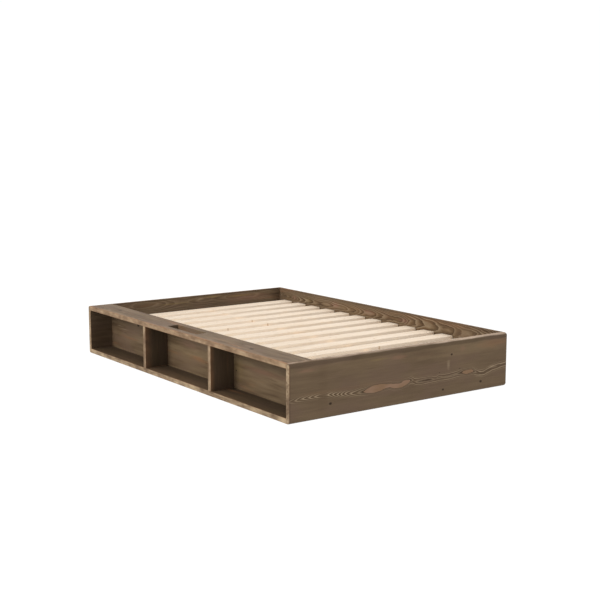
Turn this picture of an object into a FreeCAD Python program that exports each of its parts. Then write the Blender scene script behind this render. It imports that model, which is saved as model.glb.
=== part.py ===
# Low storage bed in stained pine, with a bookcase of open bays along one long side and a loose slatted base.
# Millimetres. X runs across the bed from the bay side to the plain side, Y from foot to head, Z up.
# The origin is on the floor under the middle of the bed.
import FreeCAD, Part
import os
from FreeCAD import Vector

# Bed and boards
MATTRESS_LENGTH = 2000.0
MATTRESS_WIDTH = 1200.0
FRAME_HEIGHT = 278.0
BOARD = 25.0  # thickness of every stained board
EDGE_ROUND = 15.0  # roundover on the outer edges of the end boards and the side board
EDGE_EASE = 1.5  # eased arris on the other board edges

# Bookcase
SHELF_DEPTH = 143.0  # front edge to mattress, back panel included
BACK_PANEL = 6.0
REBATE = 10.0  # how far the panel laps the top and bottom boards
BAY_COUNT = 3
SLOT_LENGTH = 298.0
SLOT_WIDTH = 65.0
SLOT_CORNER = 6.0

# Slatted base
SLAT_COUNT = 13
SLAT_WIDTH = 85.0
SLAT_THICKNESS = 18.0
SLAT_EASE = 3.0
SLAT_DROP = 73.0  # slat tops below the frame's top
SLAT_END_GAP = 2.5  # from a slat's end to the board beside it
SLAT_FIRST_GAP = 57.5  # from an end board to the first slat
TAPE_WIDTH = 20.0
TAPE_THICKNESS = 1.0
TAPE_INSET = 260.0  # from a slat's end to the middle of its tape
STAPLE_CROWN = 10.0
STAPLE_LEG = 8.0
STAPLE_WIRE = 0.8
STAPLE_SPACING = 40.0

# Hidden supports
LEDGER_WIDTH = 25.0
LEDGER_HEIGHT = 45.0
POST_SIDE = 45.0
BEAM_WIDTH = 45.0
BEAM_HEIGHT = 70.0
BEAM_PLAY = 1.0  # between a beam end and the board
HANGER_SHEET = 2.0
HANGER_DEPTH = 40.0
HANGER_HEIGHT = 55.0
HANGER_FLANGE = 25.0
LEG_SIDE = 45.0
GLIDE_DIAMETER = 30.0
GLIDE_THICKNESS = 5.0
GLIDE_NAIL = 2.5
GLIDE_NAIL_LENGTH = 18.0

# Dowels and cam fittings
DOWEL_DIAMETER = 8.0
DOWEL_LENGTH = 40.0
DOWEL_FACE_DEPTH = 13.0  # the share of a dowel that sits in a board's face, the rest is in the other's end
DOWEL_EDGE = 30.0  # from a dowel to the edge of its board
CAM_DIAMETER = 15.0
CAM_HEIGHT = 17.0
CAM_SETBACK = 24.0  # from a cam's middle to the end of its board
CAM_SLOT = 2.0
CAM_SLOT_LENGTH = 10.0
CAM_BOLT_DIAMETER = 7.0
CAM_BOLT_FACE_DEPTH = 11.0
CAM_BOLT_PAST = 3.0  # how far the bolt runs past the cam's middle

# Screws: shank diameter, head diameter, and how far the point goes into the last piece
SCREW_DIAMETER = 4.5
SCREW_HEAD = 9.0
SCREW_BITE = 18.0
SCREW_POINT = 5.0
PANEL_SCREW_DIAMETER = 3.0
PANEL_SCREW_HEAD = 5.6
PANEL_SCREW_BITE = 14.0
PANEL_SCREW_COUNT = 8
PANEL_SCREW_END = 110.0  # from an end board to the first panel screw
LEDGER_SCREW_COUNT = 7
LEDGER_SCREW_END = 100.0  # from an end board to the first ledger screw
LEG_SCREW_DIAMETER = 6.0
LEG_SCREW_HEAD = 12.0
LEG_SCREW_BITE = 45.0
FIT = 0.1  # room around each fastener in its hole

# Planes that the pieces share
LENGTH = MATTRESS_LENGTH + 2 * BOARD
WIDTH = SHELF_DEPTH + MATTRESS_WIDTH + BOARD
X_FRONT = -WIDTH / 2
X_SHELF = X_FRONT + SHELF_DEPTH
X_PANEL = X_SHELF - BACK_PANEL
X_FAR = WIDTH / 2
X_SIDE = X_FAR - BOARD
X_MIDDLE = (X_SHELF + X_SIDE) / 2
Y_HEAD = MATTRESS_LENGTH / 2
Y_FOOT = -Y_HEAD
Z_SHELF_TOP = FRAME_HEIGHT - BOARD
Z_SLATS = FRAME_HEIGHT - SLAT_DROP - SLAT_THICKNESS
Z_LEDGER = Z_SLATS - LEDGER_HEIGHT
Z_BEAM = Z_SLATS - BEAM_HEIGHT
SLAT_PITCH = (MATTRESS_LENGTH - 2 * SLAT_FIRST_GAP - SLAT_WIDTH) / (SLAT_COUNT - 1)
ROUND = min(EDGE_ROUND, 0.7 * BOARD)
TOUCH = 1e-4  # two places closer than this are the same

ALONG_X = Vector(1, 0, 0)
ALONG_Y = Vector(0, 1, 0)
UP = Vector(0, 0, 1)
ENDS = {"foot": -1, "head": 1}


def block(x0, x1, y0, y1, z0, z1):
    """Box between two planes on each axis."""
    return Part.makeBox(x1 - x0, y1 - y0, z1 - z0, Vector(x0, y0, z0))


def lies_on(edge, axis, place):
    """True where the whole edge is in the plane axis = place."""
    return all(abs(getattr(vertex.Point, axis) - place) < TOUCH for vertex in edge.Vertexes)


def along(edge, axis):
    """True for a straight edge that runs along one axis."""
    first, last = edge.Vertexes[0].Point, edge.Vertexes[-1].Point
    return abs(abs(getattr(last - first, axis)) - edge.Length) < TOUCH


def eased_bar(shape, axis, radius):
    """The bar with the arrises that run along the axis eased."""
    return shape.makeFillet(radius, [edge for edge in shape.Edges if along(edge, axis)])


def turned(profile, place, direction):
    """Solid of revolution of (radius, depth) points, from place in the given direction."""
    points = [Vector(radius, 0, depth) for radius, depth in profile]
    face = Part.Face(Part.makePolygon(points + points[:1]))
    solid = face.revolve(Vector(0, 0, 0), UP, 360)
    solid.Placement = FreeCAD.Placement(place, FreeCAD.Rotation(UP, direction))
    return solid


def screw(place, direction, length, diameter, head, room=0.0):
    """Countersunk screw with its head's top at place. With room it is the hole for that screw."""
    shank = diameter / 2 + room
    rim = head / 2 + room
    profile = [(0, 0), (rim, 0), (shank, rim - shank), (shank, length - SCREW_POINT), (0, length + room)]
    return turned(profile, place, direction)


def dowel(place, direction, room=0.0):
    """Dowel across the joint plane at place. The direction points into the board whose end it enters."""
    start = place - direction * (DOWEL_FACE_DEPTH + room)
    return Part.makeCylinder(DOWEL_DIAMETER / 2 + room, DOWEL_LENGTH + 2 * room, start, direction)


def cam_bolt(place, direction, room=0.0):
    """Steel bolt of a cam fitting, across the joint plane at place."""
    start = place - direction * (CAM_BOLT_FACE_DEPTH + room)
    length = CAM_BOLT_FACE_DEPTH + CAM_SETBACK + CAM_BOLT_PAST + 2 * room
    return Part.makeCylinder(CAM_BOLT_DIAMETER / 2 + room, length, start, direction)


def spread(first, last, count):
    """Evenly spaced places from first to last."""
    return [first + (last - first) * number / (count - 1) for number in range(count)]


def shelf_joints():
    """Joint planes of the bookcase boards with the end boards: (middle height, underside, end sign)."""
    boards = [(Z_SHELF_TOP + BOARD / 2, Z_SHELF_TOP), (BOARD / 2, 0.0)]
    return [(middle, underside, end) for middle, underside in boards for end in ENDS.values()]


def shelf_dowels(room=0.0):
    """Two dowels in each joint of a bookcase board with an end board."""
    places = [X_FRONT + DOWEL_EDGE, X_PANEL - DOWEL_EDGE]
    return [dowel(Vector(x, end * Y_HEAD, middle), ALONG_Y * -end, room)
            for middle, underside, end in shelf_joints() for x in places]


def cam_middle_x():
    """Cam fittings sit half way between the two dowels."""
    return (X_FRONT + X_PANEL) / 2


def cam_bolts(room=0.0):
    """One cam bolt in each joint of a bookcase board with an end board."""
    return [cam_bolt(Vector(cam_middle_x(), end * Y_HEAD, middle), ALONG_Y * -end, room)
            for middle, underside, end in shelf_joints()]


def cam_pockets(room=0.0):
    """Round pockets for the cam locks, from the underside of each bookcase board."""
    return [Part.makeCylinder(CAM_DIAMETER / 2 + room, CAM_HEIGHT + room,
                              Vector(cam_middle_x(), end * (Y_HEAD - CAM_SETBACK), underside), UP)
            for middle, underside, end in shelf_joints()]


def cam_locks():
    """Cam locks, each with a driver slot below and the hole that its bolt enters."""
    locks = []
    for pocket in cam_pockets():
        box = pocket.BoundBox
        x, y = box.Center.x, box.Center.y
        slot = block(x - CAM_SLOT_LENGTH / 2, x + CAM_SLOT_LENGTH / 2, y - CAM_SLOT / 2, y + CAM_SLOT / 2,
                     box.ZMin, box.ZMin + CAM_SLOT)
        locks.append(pocket.cut([slot] + cam_bolts(FIT)))
    return locks


def divider_middles():
    """Middle of each divider along the bed, for bays of equal width."""
    bay = (MATTRESS_LENGTH - (BAY_COUNT - 1) * BOARD) / BAY_COUNT
    return [Y_FOOT + number * (bay + BOARD) - BOARD / 2 for number in range(1, BAY_COUNT)]


def divider_dowels(room=0.0):
    """Two dowels at the top and two at the foot of each divider."""
    places = [X_FRONT + DOWEL_EDGE, X_PANEL - DOWEL_EDGE]
    joints = [(Z_SHELF_TOP, UP * -1), (BOARD, UP)]
    return [dowel(Vector(x, y, z), direction, room)
            for y in divider_middles() for x in places for z, direction in joints]


def side_dowels(room=0.0):
    """Two dowels at each end of the side board."""
    middle = X_SIDE + BOARD / 2
    heights = [DOWEL_EDGE, FRAME_HEIGHT - DOWEL_EDGE]
    return [dowel(Vector(middle, end * Y_HEAD, z), ALONG_Y * -end, room) for end in ENDS.values() for z in heights]


def panel_screws(room=0.0):
    """Small screws through the back panel into the rebates of the top and bottom boards."""
    rows = [BOARD - REBATE / 2, Z_SHELF_TOP + REBATE / 2]
    places = spread(Y_FOOT + PANEL_SCREW_END, Y_HEAD - PANEL_SCREW_END, PANEL_SCREW_COUNT)
    length = BACK_PANEL + PANEL_SCREW_BITE
    return [screw(Vector(X_SHELF, y, z), ALONG_X * -1, length, PANEL_SCREW_DIAMETER, PANEL_SCREW_HEAD, room)
            for z in rows for y in places]


def ledger_screws_side(room=0.0):
    """One row of screws through the side ledger into the side board."""
    places = spread(Y_FOOT + LEDGER_SCREW_END, Y_HEAD - LEDGER_SCREW_END, LEDGER_SCREW_COUNT)
    start = X_SIDE - LEDGER_WIDTH
    height = Z_LEDGER + LEDGER_HEIGHT / 2
    length = LEDGER_WIDTH + SCREW_BITE
    return [screw(Vector(start, y, height), ALONG_X, length, SCREW_DIAMETER, SCREW_HEAD, room) for y in places]


def ledger_screws_shelf(room=0.0):
    """Two screws through the shelf ledger and the back panel into each divider."""
    start = X_SHELF + LEDGER_WIDTH
    heights = [Z_LEDGER + LEDGER_HEIGHT / 4, Z_LEDGER + 3 * LEDGER_HEIGHT / 4]
    length = LEDGER_WIDTH + BACK_PANEL + 2 * SCREW_BITE
    return [screw(Vector(start, y, z), ALONG_X * -1, length, SCREW_DIAMETER, SCREW_HEAD, room)
            for y in divider_middles() for z in heights]


def post_screws(room=0.0):
    """Each post is screwed to its end board, the side posts to the side board, and each ledger to its posts."""
    level = POST_SIDE + SCREW_BITE
    drop = LEDGER_HEIGHT + 2 * SCREW_BITE
    sizes = (SCREW_DIAMETER, SCREW_HEAD, room)
    screws = []
    for end in ENDS.values():
        face = end * (Y_HEAD - POST_SIDE)
        for x, ledger_x in ((X_SHELF + POST_SIDE * 2 / 3, X_SHELF + LEDGER_WIDTH / 2),
                            (X_SIDE - POST_SIDE * 2 / 3, X_SIDE - LEDGER_WIDTH / 2)):
            for z in (Z_LEDGER / 4, Z_LEDGER * 3 / 4):
                screws.append(screw(Vector(x, face, z), ALONG_Y * end, level, *sizes))
            seat = Vector(ledger_x, end * (Y_HEAD - POST_SIDE / 3), Z_SLATS)
            screws.append(screw(seat, UP * -1, drop, *sizes))
        for z in (Z_LEDGER * 3 / 8, Z_LEDGER * 5 / 8):
            place = Vector(X_SIDE - POST_SIDE, end * (Y_HEAD - POST_SIDE * 3 / 4), z)
            screws.append(screw(place, ALONG_X, level, *sizes))
    return screws


def hanger_screws(room=0.0):
    """Screws through the hanger flanges into the end boards."""
    offset = BEAM_WIDTH / 2 + HANGER_SHEET + HANGER_FLANGE / 2
    heights = [Z_BEAM + HANGER_HEIGHT / 4, Z_BEAM + HANGER_HEIGHT * 3 / 4]
    length = HANGER_SHEET + SCREW_BITE
    return [screw(Vector(x, end * (Y_HEAD - HANGER_SHEET), z), ALONG_Y * end, length,
                  PANEL_SCREW_DIAMETER, PANEL_SCREW_HEAD, room)
            for end in ENDS.values() for x in (X_MIDDLE - offset, X_MIDDLE + offset) for z in heights]


def leg_screws(room=0.0):
    """Two long screws from the top of the beam into the leg."""
    length = BEAM_HEIGHT + LEG_SCREW_BITE
    return [screw(Vector(X_MIDDLE, y, Z_SLATS), UP * -1, length, LEG_SCREW_DIAMETER, LEG_SCREW_HEAD, room)
            for y in (-LEG_SIDE / 4, LEG_SIDE / 4)]


def end_board(end):
    """Full-width board at one end. Its outer edges and its far end are rounded over, the rest is eased."""
    outer = end * LENGTH / 2
    inner = end * Y_HEAD
    board = block(X_FRONT, X_FAR, min(inner, outer), max(inner, outer), 0, FRAME_HEIGHT)
    level = [edge for edge in board.Edges if lies_on(edge, "z", 0) or lies_on(edge, "z", FRAME_HEIGHT)]
    rounded = [edge for edge in level if lies_on(edge, "y", outer) or lies_on(edge, "x", X_FAR)]
    rounded += [edge for edge in board.Edges if lies_on(edge, "y", outer) and lies_on(edge, "x", X_FAR)]
    board = board.makeFillet(ROUND, rounded)
    sharp = [edge for edge in board.Edges if lies_on(edge, "y", inner) or lies_on(edge, "x", X_FRONT)]
    board = board.makeFillet(EDGE_EASE, sharp)
    fasteners = shelf_dowels(FIT) + cam_bolts(FIT) + side_dowels(FIT) + post_screws(FIT) + hanger_screws(FIT)
    return board.cut(fasteners)


def side_board():
    """Plain long board between the end boards, rounded over outside and eased inside."""
    board = block(X_SIDE, X_FAR, Y_FOOT, Y_HEAD, 0, FRAME_HEIGHT)
    lengthwise = [edge for edge in board.Edges if along(edge, "y")]
    board = board.makeFillet(ROUND, [edge for edge in lengthwise if lies_on(edge, "x", X_FAR)])
    inside = [edge for edge in board.Edges if along(edge, "y") and lies_on(edge, "x", X_SIDE)]
    board = board.makeFillet(EDGE_EASE, inside)
    return board.cut(side_dowels(FIT) + ledger_screws_side(FIT) + post_screws(FIT))


def bookcase_board(bottom, rebate_bottom):
    """Top or bottom board of the bookcase, with the rebate for the back panel and eased long edges."""
    board = block(X_FRONT, X_SHELF, Y_FOOT, Y_HEAD, bottom, bottom + BOARD)
    board = eased_bar(board, "y", EDGE_EASE)
    rebate = block(X_PANEL, X_SHELF, Y_FOOT, Y_HEAD, rebate_bottom, rebate_bottom + REBATE)
    fasteners = shelf_dowels(FIT) + cam_bolts(FIT) + cam_pockets(FIT) + divider_dowels(FIT) + panel_screws(FIT)
    return board.cut([rebate] + fasteners)


def shelf_top():
    """Top board, with one slot through it over the middle of the bed."""
    middle = (X_FRONT + X_SHELF) / 2
    slot = block(middle - SLOT_WIDTH / 2, middle + SLOT_WIDTH / 2, -SLOT_LENGTH / 2, SLOT_LENGTH / 2,
                 Z_SHELF_TOP, FRAME_HEIGHT)
    slot = eased_bar(slot, "z", SLOT_CORNER)
    return bookcase_board(Z_SHELF_TOP, Z_SHELF_TOP).cut(slot)


def shelf_bottom():
    """Bottom board, which the dividers stand on."""
    return bookcase_board(0, BOARD - REBATE)


def divider(middle):
    """Upright between two bays, with its front arrises eased."""
    upright = block(X_FRONT, X_PANEL, middle - BOARD / 2, middle + BOARD / 2, BOARD, Z_SHELF_TOP)
    front = [edge for edge in upright.Edges if lies_on(edge, "x", X_FRONT) and along(edge, "z")]
    upright = upright.makeFillet(EDGE_EASE, front)
    return upright.cut(divider_dowels(FIT) + ledger_screws_shelf(FIT))


def shelf_back():
    """Thin panel that closes the back of all the bays."""
    panel = block(X_PANEL, X_SHELF, Y_FOOT, Y_HEAD, BOARD - REBATE, Z_SHELF_TOP + REBATE)
    return panel.cut(panel_screws(FIT) + ledger_screws_shelf(FIT))


def ledger(x0, fasteners):
    """Batten that the slat ends lie on."""
    batten = block(x0, x0 + LEDGER_WIDTH, Y_FOOT, Y_HEAD, Z_LEDGER, Z_SLATS)
    return eased_bar(batten, "y", EDGE_EASE).cut(fasteners)


def corner_post(x0, end):
    """Short post in an inner corner, under the end of a ledger."""
    y0 = min(end * Y_HEAD, end * (Y_HEAD - POST_SIDE))
    post = block(x0, x0 + POST_SIDE, y0, y0 + POST_SIDE, 0, Z_LEDGER)
    return eased_bar(post, "z", EDGE_EASE).cut(post_screws(FIT))


def centre_beam():
    """Beam under the middle of the slats, carried in a hanger at each end."""
    reach = Y_HEAD - BEAM_PLAY
    beam = block(X_MIDDLE - BEAM_WIDTH / 2, X_MIDDLE + BEAM_WIDTH / 2, -reach, reach, Z_BEAM, Z_SLATS)
    return eased_bar(beam, "y", EDGE_EASE).cut(leg_screws(FIT))


def beam_hanger(end):
    """Folded steel hanger: a seat, two cheeks and two flanges against the end board."""
    half = BEAM_WIDTH / 2
    wall = half + HANGER_SHEET
    back = end * Y_HEAD
    lip = end * (Y_HEAD - HANGER_DEPTH)
    skin = end * (Y_HEAD - HANGER_SHEET)
    top = Z_BEAM + HANGER_HEIGHT
    under = Z_BEAM - HANGER_SHEET
    deep = (min(back, lip), max(back, lip))
    thin = (min(back, skin), max(back, skin))
    hanger = block(X_MIDDLE - wall, X_MIDDLE + wall, *deep, under, Z_BEAM)
    for sign in (-1, 1):
        cheek = sorted((X_MIDDLE + sign * half, X_MIDDLE + sign * wall))
        flange = sorted((X_MIDDLE + sign * half, X_MIDDLE + sign * (wall + HANGER_FLANGE)))
        hanger = hanger.fuse([block(*cheek, *deep, under, top), block(*flange, *thin, Z_BEAM, top)])
    return hanger.removeSplitter().cut(hanger_screws(FIT))


def centre_leg():
    """Leg under the middle of the beam, standing on its glide."""
    half = LEG_SIDE / 2
    leg = block(X_MIDDLE - half, X_MIDDLE + half, -half, half, GLIDE_THICKNESS, Z_BEAM)
    return eased_bar(leg, "z", EDGE_EASE).cut(leg_screws(FIT) + [leg_glide(FIT)])


def leg_glide(room=0.0):
    """Nylon glide with its nail up into the leg. With room it is the hole for the nail."""
    rim = GLIDE_DIAMETER / 2
    nail = GLIDE_NAIL / 2 + room
    tip = GLIDE_THICKNESS + GLIDE_NAIL_LENGTH + room
    profile = [(0, 0), (rim, 0), (rim, GLIDE_THICKNESS), (nail, GLIDE_THICKNESS), (nail, tip), (0, tip)]
    return turned(profile, Vector(X_MIDDLE, 0, 0), UP)


def slat_middles():
    """Middle of each slat along the bed, from foot to head."""
    first = Y_FOOT + SLAT_FIRST_GAP + SLAT_WIDTH / 2
    return [first + number * SLAT_PITCH for number in range(SLAT_COUNT)]


def slat(middle):
    """One slat with rounded arrises and pockets for the staples of its tapes."""
    piece = block(X_SHELF + SLAT_END_GAP, X_SIDE - SLAT_END_GAP, middle - SLAT_WIDTH / 2, middle + SLAT_WIDTH / 2,
                  Z_SLATS, Z_SLATS + SLAT_THICKNESS)
    return eased_bar(piece, "x", SLAT_EASE).cut(staples([middle]))


def tape_middles():
    """Middle of the two tapes across the bed."""
    reach = SLAT_END_GAP + TAPE_INSET
    return {"shelf": X_SHELF + reach, "side": X_SIDE - reach}


def slat_tape(middle):
    """Woven tape under all the slats."""
    reach = slat_middles()[-1] + SLAT_WIDTH / 2
    tape = block(middle - TAPE_WIDTH / 2, middle + TAPE_WIDTH / 2, -reach, reach, Z_SLATS - TAPE_THICKNESS, Z_SLATS)
    return tape.cut(staples(slat_middles()))


def staples(middles):
    """Wire staples that hold each tape to each slat: a crown under the tape and two legs up into the slat."""
    under = Z_SLATS - TAPE_THICKNESS
    half = STAPLE_WIRE / 2
    wires = []
    for x in tape_middles().values():
        for y in middles:
            for place in (y - STAPLE_SPACING / 2, y + STAPLE_SPACING / 2):
                wire = block(x - STAPLE_CROWN / 2, x + STAPLE_CROWN / 2, place - half, place + half,
                             under - STAPLE_WIRE, under)
                legs = [block(side - half, side + half, place - half, place + half, under, under + STAPLE_LEG)
                        for side in (x - STAPLE_CROWN / 2 + half, x + STAPLE_CROWN / 2 - half)]
                wires.append(wire.fuse(legs).removeSplitter())
    return wires


def pieces():
    """Every sub-part by name."""
    made = {"side_board": side_board(), "shelf_top": shelf_top(), "shelf_bottom": shelf_bottom(),
            "shelf_back": shelf_back(), "centre_beam": centre_beam(), "centre_leg": centre_leg(),
            "leg_glide": leg_glide()}
    for number, middle in enumerate(divider_middles(), 1):
        made[f"divider_{number}"] = divider(middle)
    made["ledger_shelf"] = ledger(X_SHELF, ledger_screws_shelf(FIT) + post_screws(FIT))
    made["ledger_side"] = ledger(X_SIDE - LEDGER_WIDTH, ledger_screws_side(FIT) + post_screws(FIT))
    for name, end in ENDS.items():
        made[f"{name}_board"] = end_board(end)
        made[f"corner_post_{name}_shelf"] = corner_post(X_SHELF, end)
        made[f"corner_post_{name}_side"] = corner_post(X_SIDE - POST_SIDE, end)
        made[f"beam_hanger_{name}"] = beam_hanger(end)
    for number, middle in enumerate(slat_middles(), 1):
        made[f"slat_{number:02d}"] = slat(middle)
    for name, middle in tape_middles().items():
        made[f"slat_tape_{name}"] = slat_tape(middle)
    groups = {"shelf_dowels": shelf_dowels(), "divider_dowels": divider_dowels(), "side_dowels": side_dowels(),
              "cam_bolts": cam_bolts(), "cam_locks": cam_locks(), "panel_screws": panel_screws(),
              "ledger_screws_side": ledger_screws_side(), "ledger_screws_shelf": ledger_screws_shelf(),
              "post_screws": post_screws(), "hanger_screws": hanger_screws(), "leg_screws": leg_screws(),
              "tape_staples": staples(slat_middles())}
    made.update({name: Part.makeCompound(solids) for name, solids in groups.items()})
    return made


os.makedirs("parts", exist_ok=True)
for node, shape in pieces().items():
    shape.exportStep(f"parts/{node}.step")
    print(node, "solids", len(shape.Solids), "valid", shape.isValid(), "cm3", round(shape.Volume / 1000, 2))
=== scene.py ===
# %% [markdown]
# # A low storage bed in stained pine
#
# The bed is six wide boards with an open bookcase along one side and thirteen pale slats between them.
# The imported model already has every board, slat and fastener at its real size, so this script gives them
# their looks: a stained finish whose grain runs through each board, raw wood for the slats and what carries
# them, metal and nylon for the small pieces, and two woven tapes. Lengths are in metres, with X across the
# bed (the bookcase is on the -X side), Y from foot to head and Z up.

# %% Load the frame
import math

import bpy
import numpy as np
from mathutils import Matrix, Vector


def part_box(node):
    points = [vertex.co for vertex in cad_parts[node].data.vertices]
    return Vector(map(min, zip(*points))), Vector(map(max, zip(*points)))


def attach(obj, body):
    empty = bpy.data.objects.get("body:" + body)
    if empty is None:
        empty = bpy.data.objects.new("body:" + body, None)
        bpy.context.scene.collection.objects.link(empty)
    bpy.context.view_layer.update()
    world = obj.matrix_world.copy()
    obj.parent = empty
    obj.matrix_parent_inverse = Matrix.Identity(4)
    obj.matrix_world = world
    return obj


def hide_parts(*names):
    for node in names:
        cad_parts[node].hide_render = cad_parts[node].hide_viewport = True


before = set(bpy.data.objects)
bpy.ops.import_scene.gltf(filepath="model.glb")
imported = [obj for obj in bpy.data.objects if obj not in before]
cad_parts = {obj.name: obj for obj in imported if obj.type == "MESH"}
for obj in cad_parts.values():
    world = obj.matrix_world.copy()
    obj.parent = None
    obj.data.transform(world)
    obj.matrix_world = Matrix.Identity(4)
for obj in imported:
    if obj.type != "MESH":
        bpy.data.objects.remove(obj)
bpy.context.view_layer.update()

# %% [markdown]
# ## The camera
#
# The picture is taken from a little above, with the corner of the foot board nearest. A long lens keeps the
# far end from shrinking too much. Place, turn and lens could be tried by eye, but the straight edges of the
# boards fix them: these are the values that put the corners of the model on the corners in the picture.

# %% Camera
CAMERA_PLACE = (-3.5563, -5.1244, 1.3290)
CAMERA_TURN = 35.566
CAMERA_DIP = 8.670
LENS = 69.139
SENSOR = 36.0
FAR_CLIP = 200.0

view = bpy.data.cameras.new("picture_view")
view.lens = LENS
view.sensor_width = SENSOR
view.clip_end = FAR_CLIP
camera = bpy.data.objects.new("picture_view", view)
camera.location = CAMERA_PLACE
camera.rotation_euler = (math.radians(90.0 - CAMERA_DIP), 0.0, math.radians(-CAMERA_TURN))
bpy.context.collection.objects.link(camera)
bpy.context.scene.camera = camera
print("camera: lens", LENS, "turned", CAMERA_TURN, "dipped", CAMERA_DIP)

# %% [markdown]
# ## Shader maths as expressions
#
# Wood grain is a formula: how far is this point from the heart of the tree, and how many growth rings is
# that? Wiring such a formula by hand takes dozens of Math nodes. A small class that stands for one output
# of a node makes it readable: `a * 2 + b` adds the two Math nodes by itself, and one method adds any other
# node.

# %% Wire, an output of a shader node
class Wire:
    """One output of a shader node. Arithmetic on wires adds the Math nodes that work it out."""

    def __init__(self, tree, socket=None):
        self.tree = tree
        self.socket = socket

    def node(self, kind, settings=None, inputs=None, out=0):
        """Adds any node: its settings first, then a value or a wire for each socket. Gives one output."""
        made = self.tree.nodes.new("ShaderNode" + kind)
        for name, value in (settings or {}).items():
            if name == "stops":
                set_stops(made.color_ramp, value)
            elif name == "points":
                set_points(made.mapping, value)
            else:
                setattr(made, name, value)
        for name, value in (inputs or {}).items():
            if isinstance(value, Wire):
                self.tree.links.new(value.socket, made.inputs[name])
            else:
                made.inputs[name].default_value = value
        return Wire(self.tree, made.outputs[out])

    def also(self, out):
        """Another output of the same node."""
        return Wire(self.tree, self.socket.node.outputs[out])

    def maths(self, operation, *others):
        """A Math node on this wire and the others."""
        return self.node("Math", {"operation": operation}, dict(enumerate((self, *others))))

    def __add__(self, other):
        return self.maths("ADD", other)

    def __sub__(self, other):
        return self.maths("SUBTRACT", other)

    def __rsub__(self, other):
        return self.maths("MULTIPLY_ADD", -1.0, other)

    def __mul__(self, other):
        return self.maths("MULTIPLY", other)

    def __truediv__(self, other):
        return self.maths("DIVIDE", other)

    def __pow__(self, other):
        return self.maths("POWER", other)

    def __abs__(self):
        return self.maths("ABSOLUTE")

    __radd__ = __add__
    __rmul__ = __mul__


def set_stops(ramp, stops):
    """Gives a colour ramp these (place, grey level) stops."""
    while len(ramp.elements) > 1:
        ramp.elements.remove(ramp.elements[-1])
    for place, grey in stops[1:]:
        ramp.elements.new(place).color = (grey, grey, grey, 1.0)
    place, grey = stops[0]
    ramp.elements[0].position = place
    ramp.elements[0].color = (grey, grey, grey, 1.0)


def set_points(mapping, points):
    """Gives a float curve these points, both ways from 0 to 1, with no overshoot between them."""
    curve = mapping.curves[0]
    curve.points[0].location = points[0]
    curve.points[1].location = points[-1]
    for place, level in points[1:-1]:
        curve.points.new(place, level)
    for point in curve.points:
        point.handle_type = "AUTO_CLAMPED"
    mapping.update()


# %% Short forms for the nodes that the finishes use most
def vector(x, y, z):
    """A vector from three numbers, at least one of them a wire."""
    wire = next(part for part in (x, y, z) if isinstance(part, Wire))
    return wire.node("CombineXYZ", inputs={"X": x, "Y": y, "Z": z})


def noise(place, scale, detail=2.0):
    """Cloudy noise about zero at a place in space, from about -0.5 to 0.5."""
    inputs = {"Vector": place, "Scale": scale, "Detail": detail}
    return place.node("TexNoise", {"noise_dimensions": "3D"}, inputs, out="Fac") - 0.5


def noise_along(distance, scale, detail=1.0):
    """Noise about zero that changes along one distance only."""
    inputs = {"W": distance, "Scale": scale, "Detail": detail}
    return distance.node("TexNoise", {"noise_dimensions": "1D"}, inputs, out="Fac") - 0.5


def smooth(wire, none, full):
    """0 where the wire is at none, 1 where it is at full, with a soft step between."""
    inputs = {"Value": wire, "From Min": none, "From Max": full}
    return wire.node("MapRange", {"interpolation_type": "SMOOTHSTEP"}, inputs)


def hypot(a, b):
    """The long side of the right triangle on a and b."""
    return (a * a + b * b) ** 0.5


def mix(share, first, second):
    """The second colour over the first one, as far as share says."""
    return share.node("Mix", {"data_type": "RGBA"}, {0: share, 6: first, 7: second}, out=2)


def brighten(colour, value):
    """The colour times a brightness."""
    return colour.node("HueSaturation", inputs={"Value": value, "Color": colour})


def card(red, green, blue):
    """A colour named as on a paint card, 0 to 255, as the linear colour that shaders use."""
    return tuple(((level / 255 + 0.055) / 1.055) ** 2.4 for level in (red, green, blue)) + (1.0,)


# %% Materials and the place on a piece
BUMP_STRENGTH = 0.6


def axis_wires(place):
    """The three parts of a vector, by axis."""
    x = place.node("SeparateXYZ", inputs={"Vector": place})
    return {"x": x, "y": x.also("Y"), "z": x.also("Z")}


def new_finish(name):
    """An empty procedural material, and the place on the piece as three wires in metres."""
    material = bpy.data.materials.new(name)
    material.use_nodes = True
    place = Wire(material.node_tree).node("TexCoord", out="Object")
    return material, axis_wires(place)


def wire_finish(material, colour, roughness, height, depth, constants=None):
    """Feeds the shader: colour, roughness and a bump that is depth high. Constants go on its sockets."""
    tree = material.node_tree
    shader = tree.nodes["Principled BSDF"]
    for name, value in (constants or {}).items():
        shader.inputs[name].default_value = value
    bump = height.node("Bump", inputs={"Height": height, "Distance": depth, "Strength": BUMP_STRENGTH})
    for name, wire in (("Base Color", colour), ("Roughness", roughness), ("Normal", bump)):
        tree.links.new(wire.socket, shader.inputs[name])
    return material


def dress(material, *names):
    """Puts a material on the slots of these nodes."""
    for name in names:
        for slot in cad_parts[name].material_slots:
            slot.material = material
    print(material.name, "with", len(material.node_tree.nodes), "nodes on", ", ".join(names))


# %% [markdown]
# ## How a board shows its tree
#
# A trunk is a stack of cones, one for each year, around a heart line. A board cut from it shows arches and
# ellipses where the saw runs nearly along a cone, and close lines where it cuts across. A picture of wood
# could be stretched over each board, but then the pattern would stop at the edges. Here each board is a
# piece of its own tree: the growth ring at a point is its distance from a heart line that wanders along
# the board, so figure, edge grain and end grain belong together from every side.

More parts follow.
